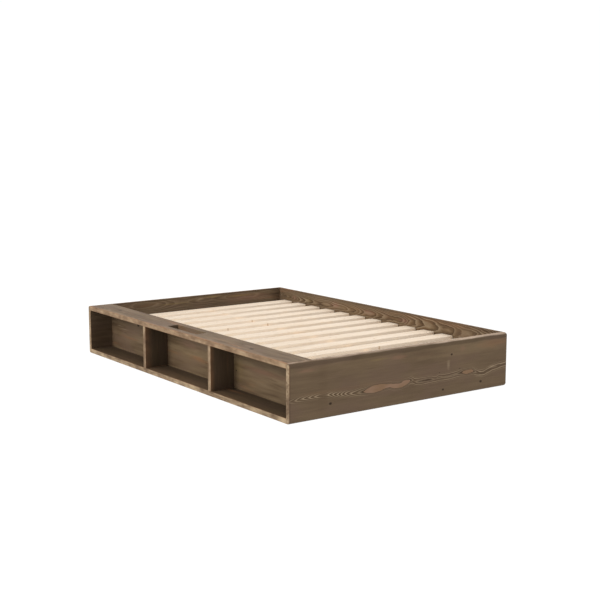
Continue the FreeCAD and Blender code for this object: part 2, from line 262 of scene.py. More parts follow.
# %% A board's piece of its tree
class Log:
    """Wires along, across and through the grain of one board, and noise that follows the grain."""

    def __init__(self, at, grain, across, through, seed):
        self.along = at[grain]
        self.side = at[across]
        self.deep = at[through]
        self.seed = seed

    def streaks(self, stretch, scale, shift=0.0, detail=2.0):
        """Noise with scale lumps per metre across the grain and stretch times as many along it."""
        start = self.along * stretch + (self.seed + shift)
        return noise(vector(start, self.side, self.deep), scale, detail)

    def spot(self, along, across, length, width):
        """How far a point is from a spot on the face, where 1 is the rim of its ellipse."""
        return hypot((self.along - along) / length, (self.side - across) / width)


# %% Heart lines and growth rings
SWAYS_PER_METRE = 1.4
DIVES_PER_METRE = 2.3
FADES_PER_METRE = 3.0
UNEVEN_PER_METRE = 70.0


def drifting_heart(across, through, sway, dive, seed, slope=0.0):
    """A heart line about (across, through), which drifts by smooth noise and may slope along the board.

    At a place along the board it gives the heart's place across and through, how clear the figure is there,
    and how much narrower than round the rings are.
    """
    def heart(along):
        aside = sway * noise_along(along + seed, SWAYS_PER_METRE) + across
        drift = dive * noise_along(along + (seed + 31.0), DIVES_PER_METRE, 2.0)
        deep = drift + slope * along + through
        clear = 0.8 + 0.8 * noise_along(along + (seed + 57.0), FADES_PER_METRE)
        return aside, deep, clear, 1.0
    return heart


def growth_rings(radius, ring, start, seed, uneven):
    """How far through its year's ring a radius is, 0 to 1, and a number that is random from year to year.

    One ring begins at the radius start, and noise makes the others wider or narrower by uneven.
    """
    count = (radius - start) / ring + uneven * noise_along(radius + seed, UNEVEN_PER_METRE)
    year = count.maths("FLOOR")
    return count - year, year.node("TexWhiteNoise", {"noise_dimensions": "1D"}, {"W": year + seed})


# %% Knots and sharp edges of a board
KNOT_LENGTH = 1.4  # in radii of the knot, as the next three
KNOT_PUSH = 1.2
KNOT_REACH = 3.0
KNOT_RIM = (1.3, 0.6)


def pin_knots(log, knots):
    """Knots at (along, across, radius): how far they push the rings aside, and how much is knot."""
    push = 0.0
    inside = 0.0
    for along, across, radius in knots:
        away = log.spot(along, across, KNOT_LENGTH * radius, radius)
        push = push + KNOT_PUSH * radius * smooth(away, KNOT_REACH, 0.0)
        inside = inside + smooth(away, *KNOT_RIM)
    return push, inside


def arris(at, name, reach):
    """1 at an edge of the node's box and 0 from reach inwards.

    Of the gaps to the nearest side along each axis, the middle one is the way to the nearest edge.
    """
    low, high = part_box(name)
    gaps = [(wire - low[i]).maths("MINIMUM", high[i] - wire) for i, wire in enumerate(at.values())]
    a, b, c = gaps
    middle = a.maths("MINIMUM", b).maths("MAXIMUM", a.maths("MAXIMUM", b).maths("MINIMUM", c))
    return smooth(middle, reach, 0.0)


# %% [markdown]
# ## The stained finish
#
# Stain soaks into soft wood and stays out of hard wood, so stained pine is a negative of raw pine: a brown
# ground with thin lighter lines, each with a dark side. The ground drifts between olive and umber, a little
# rust shows in patches, narrow faces took less stain, and sharp edges are rubbed. The pale top faces also
# carry a painted highlight, and painted shade darkens a band below a rounded top edge and at the ends of a
# board. One function makes the finish for a board, and each board is given its own heart line, knots and
# patches.

# %% The colours of the stain
UMBER = card(75, 59, 44)
OLIVE = card(104, 87, 67)
MAUVE = card(93, 75, 61)
DARK = card(56, 42, 30)
TAN = card(139, 121, 98)
WIPED = card(112, 94, 71)
RUST = card(132, 90, 62)
HAZEL = card(139, 110, 80)
BLUSH = card(124, 90, 74)
OCHRE = card(116, 98, 62)
ROSE = card(116, 91, 69)
PINK = card(128, 102, 84)
KNOT = card(34, 24, 17)
EDGE = card(108, 87, 67)
PALE = card(150, 130, 112)
HONEY = card(163, 142, 114)
# A painted highlight for the foot board's top edge.
TOP_EDGE_HIGHLIGHT = card(228, 204, 182)
RUBBED = card(140, 100, 70)

# %% Ground and patches of the stain
DRIFTS = (0.25, 7.0)  # for streaks: stretch, scale, shift, detail, as all in this cell
BANDS = (0.10, 45.0, 3.0)
THREADS = (0.05, 130.0, 7.0)
CLOUDS = (0.5, 9.0, 23.0)
FIBRES = (0.025, 420.0, 5.0, 3.0)
RUSTY = (0.10, 22.0, 11.0)
RAGGED = (0.15, 60.0, 19.0)


def stain_ground(log, tone, streaky, banded):
    """The ground colour: drifts and bands of umber, olive and mauve, thin dark streaks, and fibres."""
    share = 0.5 + 1.1 * log.streaks(*DRIFTS) + banded * log.streaks(*BANDS)
    colour = mix(share, UMBER, OLIVE)
    colour = mix(0.7 * smooth(log.streaks(*CLOUDS), -0.05, 0.15), colour, MAUVE)
    colour = mix(streaky * smooth(log.streaks(*THREADS), 0.13, 0.27), colour, DARK)
    return brighten(colour, tone + 0.35 * log.streaks(*FIBRES))


def stain_patches(colour, log, rust, patches):
    """Rusty streaks by noise, and soft patches: along, across, half length, half width, strength, tint."""
    colour = mix(rust * smooth(log.streaks(*RUSTY), 0.08, 0.30), colour, RUST)
    ragged = 0.9 * log.streaks(*RAGGED)
    for along, across, length, width, share, tint in patches:
        inside = smooth(log.spot(along, across, length, width) + ragged, 1.0, 0.0)
        colour = mix(share * inside, colour, tint)
    return colour


# %% Rims, edges and the slot
# Painted shade below a rounded top edge and at the ends of a board.
RIM_END = 0.008
RIM_WANDER = 0.02
RIM_WANDERS_PER_METRE = 7.0
RIM_SHADE_DEPTH = 0.22
FLECKS = (0.2, 90.0, 29.0)  # for streaks
WORN_PER_METRE = 14.0
EDGE_FACING = (0.75, 0.97)
EDGE_REACH = (0.014, 0.010)
ARRIS_REACH = 0.003
SLOT_FACING = (0.5, 0.8)
SLOT_REACH = (0.014, 0.018)
SLOT_DARK = 0.45


def rim_painted_shade(colour, at, name, rim, log):
    """Painted shade: an uneven dark band rim wide below a rounded top edge, and narrowly at the ends."""
    low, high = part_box(name)
    wander = RIM_WANDER * noise(vector(at["x"], at["y"], 0.0), RIM_WANDERS_PER_METRE)
    below = high[2] - at["z"] + wander
    grain = list(at.values()).index(log.along)
    inwards = (log.along - low[grain]).maths("MINIMUM", high[grain] - log.along)
    ends = smooth(inwards, RIM_END, 0.5 * RIM_END)
    dark = smooth(below, 1.15 * rim, 0.85 * rim).maths("MAXIMUM", ends)
    return brighten(colour, 1.0 - RIM_SHADE_DEPTH * dark)


def stain_edges(colour, log, at, name, edges, share, rub):
    """Narrow faces took less stain, sharp edges are rubbed, and pale top faces carry a painted highlight.

    edges lists the faces, each by its axis, sign and tint, and share is how far they are wiped. rub is how
    far from such a face the wood beside it is rubbed too.
    """
    place = vector(at["x"], at["y"], at["z"])
    facing = axis_wires(colour.node("TexCoord", out="Normal"))
    worn = noise(place, WORN_PER_METRE)
    fine = log.streaks(*FLECKS)
    for axis, sign, tint in edges:
        inwards = abs(at[axis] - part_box(name)[sign > 0]["xyz".index(axis)])
        if rub:
            colour = mix((0.35 + worn) * smooth(inwards, rub, 0.0), colour, RUBBED)
        face = smooth(sign * facing[axis], *EDGE_FACING) * smooth(inwards, *EDGE_REACH)
        wiped = mix(0.45 + 2.2 * worn + 1.5 * fine, EDGE, tint)
        colour = mix((share + 0.5 * worn + 0.45 * fine) * face, colour, wiped)
    return mix((0.30 + 1.6 * worn) * arris(at, name, ARRIS_REACH), colour, RUBBED)


def stain_slot(colour, at, name):
    """The two ends of a slot through a flat board are end grain, which takes more stain."""
    low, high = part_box(name)
    facing = axis_wires(colour.node("TexCoord", out="Normal"))
    inwards = (at["x"] - low[0]).maths("MINIMUM", high[0] - at["x"])
    wall = smooth(abs(facing["y"]), *SLOT_FACING) * smooth(inwards, *SLOT_REACH)
    return brighten(colour, 1.0 - SLOT_DARK * wall)


# %% Stained pine
RIPPLES = (0.12, 28.0)  # for streaks, as the next two
FEATHERS = (0.4, 60.0, 13.0)
BLUSHES = (0.5, 22.0, 43.0)
EYE_GAP = 0.0037
EYE_SOFT = 0.0004
FAR_RINGS = 0.15
GRAIN_BUMP = 0.0003
STAIN_SHINE = 0.06
RING_LIGHT = ((0.0, 0.0), (0.06, 1.0), (0.30, 0.45), (0.55, 0.0), (1.0, 0.0))
RING_DARK = ((0.0, 0.0), (0.40, 0.0), (0.80, 0.7), (0.95, 1.0), (1.0, 0.0))


def stained_pine(name, grain, across, through, heart, ring, seed, figure, knots=(), edges=(), patches=(),
                 ripple=0.004, feather=0.0015, pinch=0.0, uneven=1.0, vary=0.6, eye=0.0, fade=0.2, deep=0.6,
                 rust=0.35, streaky=0.45, banded=0.8, tone=1.0, rim=0.0, slotted=False, share=0.7, rub=0.0):
    """Stained pine for one board, with the grain along one axis.

    The radius of a point is its distance from the heart line, pushed by ripples and feathers along the
    grain, and pinch makes arches pointed. figure is how strongly the rings show near the heart line, fade
    how far from it, and deep how dark their dark sides are. Wood inside the radius eye is rosy, with a dark
    outline, and the rings start outside it. uneven and vary are how far the rings differ in width and
    strength. rust, streaky, banded and tone set the ground, rim is how wide a painted shade below the top
    edge is, and the rest the edges and the slot.
    """
    material, at = new_finish("stained_" + name)
    log = Log(at, grain, across, through, seed)
    aside, depth, clear, narrow = heart(log.along)
    beside = abs(log.side - aside) * narrow
    push, knot = pin_knots(log, knots)
    radius = hypot(beside, log.deep - depth) + pinch * beside + push
    radius = radius + ripple * log.streaks(*RIPPLES) + feather * log.streaks(*FEATHERS)
    start = eye + EYE_GAP if eye else 0.0
    phase, year = growth_rings(radius, ring, start, seed, uneven)
    outside = smooth(radius, eye - EYE_SOFT, eye + EYE_SOFT)
    outline = smooth(radius, eye - EYE_SOFT, eye) * smooth(radius, eye + 4 * EYE_SOFT, eye + EYE_SOFT)
    near = FAR_RINGS + (1.0 - FAR_RINGS) * smooth(beside, fade, 0.3 * fade)
    shown = figure * clear * (1.0 - vary + vary * year) * near * outside
    light = phase.node("ValToRGB", {"stops": RING_LIGHT}, {"Fac": phase}) * shown
    dark = phase.node("ValToRGB", {"stops": RING_DARK}, {"Fac": phase}) * shown
    colour = stain_patches(stain_ground(log, tone, streaky, banded), log, rust, patches)
    rosy = mix(0.3 + 4.0 * log.streaks(*BLUSHES), ROSE, PINK)
    colour = mix(0.9 * (1.0 - outside), colour, rosy)
    colour = mix(deep * dark, colour, DARK)
    colour = mix(light, colour, TAN)
    if eye:
        colour = mix(0.8 * outline, colour, DARK)
    if knots:
        colour = mix(0.85 * knot, colour, KNOT)
    # Painted shade below the rounded top edge and at the ends.
    if rim:
        colour = rim_painted_shade(colour, at, name, rim, log)
    if slotted:
        colour = stain_slot(colour, at, name)
    colour = stain_edges(colour, log, at, name, edges, share, rub)
    fibre = log.streaks(*FIBRES)
    roughness = 0.55 + 0.25 * fibre - 0.06 * light
    height = fibre + 0.5 * light - 0.3 * dark
    shine = {"Specular IOR Level": STAIN_SHINE}
    dress(wire_finish(material, colour, roughness, height, GRAIN_BUMP, shine), name)


# %% [markdown]
# ## The foot board
#
# The foot board faces the viewer, and one wavy figure runs along it a little below half height: arrow heads
# at the near end, a long rosy eye in the middle, two nearly parallel lines, a small eye and a dip. Noise
# would give such a figure, but not this one. So the heart line of this board is drawn: where it
# comes nearer to the face, an older ring opens as an eye, and where it falls away, rings close as arrows.
# The lists below say what shows on the face, and the depth of the heart line follows from them.

# %% What shows on the face of the foot board
FOOT_EYE = 0.0378
FOOT_RING = 0.0035
FOOT_PINCH = 0.06
FOOT_TIPS = (  # where the arrow heads point, ring after ring from the long eye: along, height
    (-0.328, 0.096),
    (-0.362, 0.100),
    (-0.388, 0.101),
    (-0.410, 0.103),
    (-0.436, 0.106),
    (-0.464, 0.109),
    (-0.530, 0.110),
    (-0.565, 0.110),
    (-0.605, 0.110),
    (-0.644, 0.108),
    (-0.684, 0.104),
)
FOOT_EYES = (  # the long rosy eye and the small one: along, height of the middle, half width
    (-0.266, 0.095, 0.000),
    (-0.248, 0.095, 0.007),
    (-0.221, 0.098, 0.014),
    (-0.194, 0.100, 0.018),
    (-0.162, 0.101, 0.017),
    (-0.139, 0.103, 0.013),
    (-0.108, 0.103, 0.009),
    (-0.068, 0.096, 0.012),
    (-0.037, 0.096, 0.012),
    (-0.012, 0.103, 0.014),
    (0.005, 0.105, 0.012),
    (0.018, 0.108, 0.009),
    (0.033, 0.112, 0.000),
    (0.358, 0.107, 0.000),
    (0.375, 0.107, 0.006),
    (0.402, 0.106, 0.010),
    (0.420, 0.108, 0.010),
    (0.438, 0.108, 0.007),
)
FOOT_LINES = (  # the two pale lines after each eye: along, height of the middle, half the gap
    (0.052, 0.105, 0.012),
    (0.089, 0.099, 0.014),
    (0.126, 0.099, 0.014),
    (0.160, 0.100, 0.013),
    (0.192, 0.097, 0.010),
    (0.213, 0.102, 0.013),
    (0.250, 0.099, 0.012),
    (0.292, 0.100, 0.012),
    (0.335, 0.105, 0.013),
    (0.452, 0.101, 0.013),
    (0.466, 0.095, 0.010),
    (0.483, 0.090, 0.008),
    (0.510, 0.088, 0.006),
    (0.539, 0.094, 0.008),
    (0.566, 0.101, 0.008),
    (0.602, 0.108, 0.009),
    (0.634, 0.112, 0.007),
    (0.684, 0.116, 0.006),
)
FOOT_CLEAR = (  # along, how clear the lines are
    (-0.684, 0.50),
    (-0.605, 0.95),
    (-0.530, 0.90),
    (-0.497, 0.15),
    (-0.464, 1.10),
    (-0.410, 1.20),
    (-0.328, 0.90),
    (0.052, 1.00),
    (0.160, 0.80),
    (0.335, 0.90),
    (0.420, 0.80),
    (0.466, 1.00),
    (0.684, 0.90),
)
FOOT_NARROW = (  # along, how much narrower than round the rings are
    (-0.684, 1.8),
    (-0.464, 1.6),
    (-0.328, 1.2),
    (-0.266, 1.0),
    (0.684, 1.0),
)

# %% Knots and patches of the foot board
FOOT_KNOTS = (  # along the board, height, radius
    (-0.454, 0.066, 0.006),
    (0.215, 0.126, 0.002),
    (0.240, 0.038, 0.005),
    (0.294, 0.208, 0.005),
    (0.350, 0.130, 0.0024),
    (0.496, 0.046, 0.006),
)
FOOT_PATCHES = (  # along, height, half length, half width, strength, tint
    (-0.300, 0.232, 0.420, 0.050, 0.35, WIPED),
    (0.420, 0.226, 0.420, 0.060, 0.45, WIPED),
    (-0.590, 0.236, 0.080, 0.010, 0.35, BLUSH),
    (-0.170, 0.238, 0.090, 0.009, 0.35, OCHRE),
    (-0.045, 0.235, 0.070, 0.016, 0.35, BLUSH),
    (0.367, 0.228, 0.030, 0.022, 0.30, BLUSH),
    (0.590, 0.234, 0.160, 0.030, 0.22, RUST),
    (0.578, 0.112, 0.040, 0.010, 0.50, TAN),
    (0.274, 0.158, 0.014, 0.034, 0.40, TAN),
    # The last two patches are a painted highlight along the rounded top edge.
    (0.440, 0.280, 0.640, 0.011, 0.95, TOP_EDGE_HIGHLIGHT),
    (-0.250, 0.279, 0.500, 0.009, 0.40, TOP_EDGE_HIGHLIGHT),
)


# %% Heart line of the foot board
def heart_depth(half, radius):
    """How deep the heart lies where the ring of a radius is half wide on the face.

    The radius is the root of half squared plus depth squared, plus the pinch times half.
    """
    return np.sqrt((radius - FOOT_PINCH * half) ** 2 - half ** 2)


def foot_heart(along):
    """The heart line of the foot board, as curves along it: height, depth, how clear and how narrow."""
    low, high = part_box("foot_board")

    def passed(place):
        """The share of the board's length that is passed at a place, 0 to 1."""
        return (place - low[0]) / (high[0] - low[0])

    def drawn(places, levels):
        """A smooth curve through levels at places along the board. The node holds it from 0 to 1."""
        points = np.stack((passed(places), levels / levels.max()), axis=1)
        points = points[np.argsort(places)].tolist()
        return share.node("FloatCurve", {"points": points}, {"Value": share}) * float(levels.max())

    share = passed(along)
    tips = np.array(FOOT_TIPS)
    eyes = np.array(FOOT_EYES)
    lines = np.array(FOOT_LINES)
    first = FOOT_EYE + EYE_GAP
    tip_depths = first + FOOT_RING * np.arange(len(tips))
    eye_depths = heart_depth(eyes[:, 2], FOOT_EYE)
    line_depths = heart_depth(lines[:, 2], first)
    places, heights = np.concatenate((tips, eyes[:, :2], lines[:, :2])).T
    depths = np.concatenate((tip_depths, eye_depths, line_depths))
    clear = drawn(*np.array(FOOT_CLEAR).T)
    narrow = drawn(*np.array(FOOT_NARROW).T)
    return drawn(places, heights), drawn(places, depths) + low[1], clear, narrow


# %% Foot board
# The pale tint on top faces is less stain and a painted highlight as well.
TOP_WIPED_AND_SHEEN = ("z", 1.0, PALE)  # a narrow face: axis, sign, tint
FRONT = ("x", -1.0, HONEY)
FAR = ("x", 1.0, PALE)

stained_pine("foot_board", "x", "z", "y", foot_heart, ring=FOOT_RING, seed=2.0, figure=1.0,
             knots=FOOT_KNOTS, edges=(TOP_WIPED_AND_SHEEN, FRONT, FAR), patches=FOOT_PATCHES, ripple=0.0008, feather=0.0024,
             pinch=FOOT_PINCH, uneven=0.0, vary=0.0, eye=FOOT_EYE, fade=0.028, deep=0.45, rust=0.06,
             streaky=0.30, tone=0.95, rim=0.024)

# %% [markdown]
# ## The other stained boards
#
# The rest of the boards show quieter figures, so their heart lines drift by noise. What matters is where
# the heart lies: close behind the face it gives arches, and far to one side it gives straight lines. The
# side board's heart line also slopes away towards the foot, so its rings close one after another.

# %% Knots and patches of the bookcase
SHELF_KNOTS = ((0.762, -0.610, 0.009), (-0.632, -0.625, 0.010), (0.300, -0.600, 0.004))
SHELF_PATCHES = (  # along, across, half length, half width, strength, tint
    (0.525, -0.662, 0.070, 0.005, 0.70, DARK),
    (0.240, -0.650, 0.120, 0.004, 0.50, DARK),
    (-0.520, -0.645, 0.110, 0.012, 0.50, RUST),
    (-0.560, -0.600, 0.050, 0.010, 0.40, TAN),
    (-0.100, -0.668, 1.300, 0.035, 0.14, PALE),
)
FLOOR_PATCHES = (  # along, across, half length, half width, strength, tint
    (0.000, -0.684, 1.600, 0.110, 0.18, HAZEL),
)
BACK_KNOTS = ((0.666, 0.200, 0.010), (-0.370, 0.118, 0.004))
BACK_PATCHES = (  # along, height, half length, half width, strength, tint
    (-0.620, 0.150, 0.300, 0.022, 0.45, BLUSH),
    (-0.380, 0.150, 0.080, 0.120, 0.35, OCHRE),
    (0.000, 0.130, 1.300, 0.220, 0.15, OCHRE),
    (0.080, 0.175, 0.160, 0.030, 0.40, BLUSH),
    (0.900, 0.163, 0.060, 0.004, 0.60, TAN),
    (0.840, 0.150, 0.070, 0.004, 0.50, TAN),
    (0.700, 0.190, 0.160, 0.030, 0.40, WIPED),
    (-0.300, 0.180, 0.900, 0.030, 0.20, TAN),
)

# %% Patches of the head board and the side board
HEAD_PATCHES = (  # along, height, half length, half width, strength, tint
    # The first dark patch paints shade on the head board inside the bay at the head end.
    (-0.660, 0.130, 0.160, 0.300, 0.65, DARK),
    (0.060, 0.256, 0.040, 0.014, 0.50, TAN),
    (0.160, 0.262, 0.090, 0.009, 0.90, OCHRE),
    (0.360, 0.252, 0.140, 0.008, 0.90, OCHRE),
    (-0.120, 0.242, 0.140, 0.007, 0.60, OCHRE),
    (0.420, 0.235, 0.260, 0.035, 0.45, BLUSH),
    (0.640, 0.240, 0.080, 0.100, 0.60, DARK),
)
SIDE_PATCHES = (  # along, height, half length, half width, strength, tint
    (0.000, 0.215, 1.400, 0.080, 0.25, OCHRE),
    (0.000, 0.230, 1.400, 0.060, 0.16, RUST),
    (-0.450, 0.264, 0.700, 0.018, 0.30, RUBBED),
    (-0.240, 0.232, 0.070, 0.024, 0.80, BLUSH),
    (-0.020, 0.216, 0.080, 0.020, 0.60, DARK),
    (0.080, 0.236, 0.080, 0.022, 0.75, BLUSH),
    (0.400, 0.238, 0.060, 0.026, 0.85, BLUSH),
    (0.560, 0.222, 0.060, 0.022, 0.55, DARK),
    (0.680, 0.235, 0.080, 0.030, 0.60, OCHRE),
    (0.830, 0.234, 0.040, 0.022, 0.70, BLUSH),
)

# %% Other stained boards
stained_pine("head_board", "x", "z", "y",
             drifting_heart(across=0.250, through=1.070, sway=0.02, dive=0.018, seed=4.0),
             ring=0.0040, seed=4.0, figure=0.6, edges=(TOP_WIPED_AND_SHEEN, FRONT, FAR), patches=HEAD_PATCHES, fade=0.12,
             rust=0.5, streaky=0.8, banded=1.6, rim=0.010)
stained_pine("side_board", "y", "z", "x",
             drifting_heart(across=0.230, through=0.72, sway=0.03, dive=0.03, seed=7.3, slope=-0.05),
             ring=0.0040, seed=7.3, figure=1.2, edges=(TOP_WIPED_AND_SHEEN,), patches=SIDE_PATCHES, ripple=0.006,
             feather=0.0035, fade=0.09, deep=0.95, rust=0.8, streaky=0.7, tone=1.14, share=0.25, rim=0.008)
stained_pine("shelf_top", "y", "x", "z",
             drifting_heart(across=-0.66, through=0.20, sway=0.05, dive=0.03, seed=9.1),
             ring=0.0050, seed=9.1, figure=0.35, knots=SHELF_KNOTS, edges=(FRONT,), patches=SHELF_PATCHES,
             rust=0.6, streaky=0.9, banded=2.4, tone=1.09, slotted=True, share=0.5, rub=0.018)
stained_pine("shelf_bottom", "y", "x", "z",
             drifting_heart(across=-0.45, through=-0.06, sway=0.05, dive=0.03, seed=12.6),
             ring=0.0050, seed=12.6, figure=0.3, edges=(FRONT,), patches=FLOOR_PATCHES, rust=0.8, tone=0.48,
             share=0.8)
stained_pine("shelf_back", "y", "z", "x",
             drifting_heart(across=0.36, through=-0.48, sway=0.04, dive=0.02, seed=15.2),
             ring=0.0050, seed=15.2, figure=0.35, knots=BACK_KNOTS, patches=BACK_PATCHES, rust=0.7,
             streaky=0.8, banded=2.2, tone=1.20)
stained_pine("divider_1", "z", "x", "y",
             drifting_heart(across=-0.80, through=-0.40, sway=0.03, dive=0.02, seed=18.7),
             ring=0.0045, seed=18.7, figure=0.4, edges=(FRONT,), tone=0.64, share=0.9, rub=0.03)
stained_pine("divider_2", "z", "x", "y",
             drifting_heart(across=-0.86, through=0.42, sway=0.03, dive=0.02, seed=21.4),
             ring=0.0045, seed=21.4, figure=0.3, edges=(FRONT,), tone=0.50, share=0.9, rub=0.05)

# %% [markdown]
# ## Raw pine for the slats
#
# The slats are planed but not finished: cream early wood, thin amber lines and now and then a small knot.
# Thirteen materials could be made, but the slats lie at an even pitch, so one material can tell them apart:
# the slat's number is its place along the bed over the pitch, rounded, and random numbers drawn from that
# number choose where its heart line lies.

# %% Raw pine
CREAM = card(206, 192, 175)
AMBER = card(194, 168, 137)
DRIFT = card(188, 170, 148)
RAW_KNOT = card(158, 130, 102)
RAW_LATE = ((0.0, 0.0), (0.45, 0.08), (0.85, 0.75), (0.95, 1.0), (1.0, 0.0))
RAW_RIPPLES = (0.12, 30.0)  # for streaks, as the next three
RAW_FIBRES = (0.025, 400.0, 5.0, 3.0)
RAW_DRIFTS = (0.3, 9.0, 2.0)
RAW_THREADS = (0.06, 70.0, 7.0)
RIPPLE = 0.003
KNOTS_PER_METRE = 7.0
RAW_KNOT_RIM = (0.0065, 0.0025)
RAW_KNOT_REACH = 0.022
RAW_KNOT_PUSH = 0.007
# Painted light on upright faces; at the bookcase end, planed faces painted darker, upright ones lighter.
SAWN_AND_PAINTED_LIGHT = 0.24
BOOKCASE_LIGHT_UPRIGHT = 0.34
BOOKCASE_LIGHT_SHIFT = 0.08
RAW_SHINE = 0.2


def raw_pine(material, log, beside, below, ring, knot_place, bookcase_light=0.0):
    """Raw pine round a heart line that is beside and below the point.

    knot_place is where knots are sown. Upright faces are sawn and carry painted light, which makes them
    paler than the planed ones. Towards the bookcase end more painted light evens the two out: the planed
    faces are painted darker and the upright ones lighter still.
    """
    sown = {"Vector": knot_place, "Scale": KNOTS_PER_METRE}
    away = knot_place.node("TexVoronoi", {"voronoi_dimensions": "2D"}, sown) / KNOTS_PER_METRE
    push = RAW_KNOT_PUSH * smooth(away, RAW_KNOT_REACH, 0.0)
    radius = hypot(beside, below) + push + RIPPLE * log.streaks(*RAW_RIPPLES)
    phase, year = growth_rings(radius, ring, 0.0, log.seed, 1.0)
    late = phase.node("ValToRGB", {"stops": RAW_LATE}, {"Fac": phase}) * (0.4 + 0.6 * year)
    fibre = log.streaks(*RAW_FIBRES)
    colour = mix(0.7 * late + 0.5 * log.streaks(*RAW_DRIFTS) + 0.1, CREAM, AMBER)
    colour = mix(0.8 * smooth(log.streaks(*RAW_THREADS), 0.02, 0.26), colour, DRIFT)
    colour = mix(0.8 * smooth(away, *RAW_KNOT_RIM), colour, RAW_KNOT)
    # Painted light: upright faces lighter, and more so at the bookcase end, where planed faces are darker.
    facing = axis_wires(colour.node("TexCoord", out="Normal"))
    upright = smooth(abs(facing["z"]), 0.6, 0.2)
    planed = 1.0 + 0.14 * fibre - BOOKCASE_LIGHT_SHIFT * bookcase_light
    colour = brighten(colour, planed + (SAWN_AND_PAINTED_LIGHT + (BOOKCASE_LIGHT_UPRIGHT + BOOKCASE_LIGHT_SHIFT) * bookcase_light) * upright)
    roughness = 0.62 + 0.2 * fibre
    shine = {"Specular IOR Level": RAW_SHINE}
    return wire_finish(material, colour, roughness, fibre + 0.4 * late, GRAIN_BUMP, shine)


# %% Slats
SLATS = [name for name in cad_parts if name.startswith("slat_") and name[-2:].isdigit()]
SLAT_PITCH = float(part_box("slat_02")[0][1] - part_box("slat_01")[0][1])
SLAT_UNDERSIDE = float(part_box("slat_01")[0][2])
SLAT_RING = 0.0035
SLAT_SEED = 1.0
SLAT_HEART_ASIDE = 0.14
SLAT_HEART_DEPTH = (0.015, 0.07)
RAW_SWAY = 0.03
RAW_SWAYS_PER_METRE = 1.5
RAW_DIVE = 0.02
RAW_DIVES_PER_METRE = 2.1
BOOKCASE_LIGHT_FROM = (0.5, -0.5)
SLAT_SHIFT = 3.0
SLAT_SHIFT_DRAWN = 5.0
SLAT_KNOT_SHIFT = 0.7


def slat_pine():
    """Raw pine for every slat: its number draws the place of its heart and its stretch of the tree."""
    material, at = new_finish("slat_pine")
    number = (at["y"] / SLAT_PITCH + 0.5).maths("FLOOR")
    # 1 at the bookcase end of a slat, where the painted light evens out tops and sides.
    bookcase_light = smooth(at["x"], *BOOKCASE_LIGHT_FROM)
    drawn = number.node("TexWhiteNoise", {"noise_dimensions": "1D"}, {"W": number + 0.3}, out="Color")
    first = drawn.node("SeparateColor", inputs={"Color": drawn})
    at["x"] = at["x"] + SLAT_SHIFT_DRAWN * first + SLAT_SHIFT * number
    at["y"] = at["y"] - SLAT_PITCH * number
    log = Log(at, "x", "y", "z", SLAT_SEED)
    sway = RAW_SWAY * noise_along(log.along, RAW_SWAYS_PER_METRE)
    dive = RAW_DIVE * noise_along(log.along, RAW_DIVES_PER_METRE)
    least, more = SLAT_HEART_DEPTH
    beside = log.side - SLAT_HEART_ASIDE * (first.also("Green") - 0.5) - sway
    below = log.deep - SLAT_UNDERSIDE + least + more * first.also("Blue") + dive
    knot_place = vector(log.along, log.side + SLAT_KNOT_SHIFT * number, 0.0)
    return raw_pine(material, log, beside, below, SLAT_RING, knot_place, bookcase_light)


dress(slat_pine(), *SLATS)

# %% [markdown]
# ## Raw pine under the slats
#
# The battens, the centre beam, its leg and the corner posts are the same raw wood, cut with the grain along
# each piece. They share one log per direction.

# %% Battens, beam, leg and posts
SUPPORT_RING = 0.004
SUPPORT_SEED = 6.0


def support_pine(name, grain, across, through, heart):
    """Raw pine with the grain along one axis and a fixed heart line."""
    material, at = new_finish(name)
    log = Log(at, grain, across, through, SUPPORT_SEED)
    beside = log.side - heart[0] - RAW_SWAY * noise_along(log.along, RAW_SWAYS_PER_METRE)
    below = log.deep - heart[1] - RAW_DIVE * noise_along(log.along + 4.0, RAW_DIVES_PER_METRE)
    knot_place = vector(log.along, log.side + log.deep, 0.0)
    return raw_pine(material, log, beside, below, SUPPORT_RING, knot_place)


POSTS = [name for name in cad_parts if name.startswith("corner_post_")]
LONG = ("ledger_shelf", "ledger_side", "centre_beam")
dress(support_pine("support_pine_long", "y", "x", "z", heart=(0.03, 0.09)), *LONG)
dress(support_pine("support_pine_upright", "z", "x", "y", heart=(0.10, 0.04)), "centre_leg", *POSTS)

# %% [markdown]
# ## Small pieces
#
# Dowels are turned beech with short dark flecks. Screws, cams, hangers and staples are zinc plated steel,
# whose crystals catch the light a little differently from one to the next. The glide is grey nylon.

# %% Beech
BEECH = card(205, 166, 126)
BEECH_DEEP = card(186, 142, 104)
FLECK = card(140, 98, 68)
FLECKS_PER_METRE = 900.0
CLOUDS_PER_METRE = 90.0
SKIN_BUMP = 0.0002


def beech():
    """Pale reddish wood with soft clouds and small dark flecks."""
    material, at = new_finish("beech")
    place = vector(at["x"], at["y"], at["z"])
    fleck = smooth(noise(place, FLECKS_PER_METRE, 1.0), 0.10, 0.22)
    cloud = noise(place, CLOUDS_PER_METRE)
    colour = mix(0.5 + cloud, BEECH, BEECH_DEEP)
    colour = mix(0.6 * fleck, colour, FLECK)
    return wire_finish(material, colour, 0.55 + 0.2 * cloud, fleck, SKIN_BUMP)


dress(beech(), "shelf_dowels", "divider_dowels", "side_dowels")

# %% Zinc
ZINC = card(176, 180, 182)
ZINC_BRIGHT = card(206, 208, 206)
CRYSTALS_PER_METRE = 420.0
SMEARS_PER_METRE = 60.0
ZINC_BUMP = 0.0001
STEEL = ("beam_hanger_foot", "beam_hanger_head", "cam_bolts", "cam_locks", "panel_screws",
         "ledger_screws_side", "ledger_screws_shelf", "post_screws", "hanger_screws", "leg_screws",
         "tape_staples")


